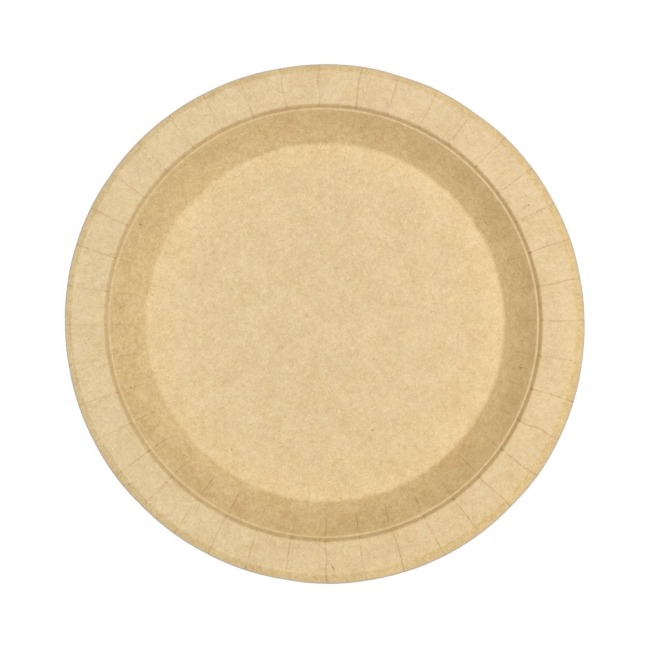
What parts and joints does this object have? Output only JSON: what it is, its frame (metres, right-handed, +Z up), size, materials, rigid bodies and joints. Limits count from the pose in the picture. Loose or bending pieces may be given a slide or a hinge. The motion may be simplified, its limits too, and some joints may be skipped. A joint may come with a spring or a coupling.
{
  "type": "paper plate",
  "caption": "Round kraft paperboard plate with a flat base, a sloping wall, a stepped level brim and a turned-down lip, pressed with fine radial creases",
  "frame": {"origin": "centre of the underside of the base, on the surface that the plate stands on", "axes": "+Z up along the plate's axis of turning, the open side of the well facing +Z; X and Y across the plate, with a crease just past +X"},
  "size_m": [0.23, 0.23, 0.0183],
  "materials": {
    "kraft_board": "matte"
  },
  "bodies": {
    "root": {"plate": "kraft_board"}
  },
  "joints": []
}
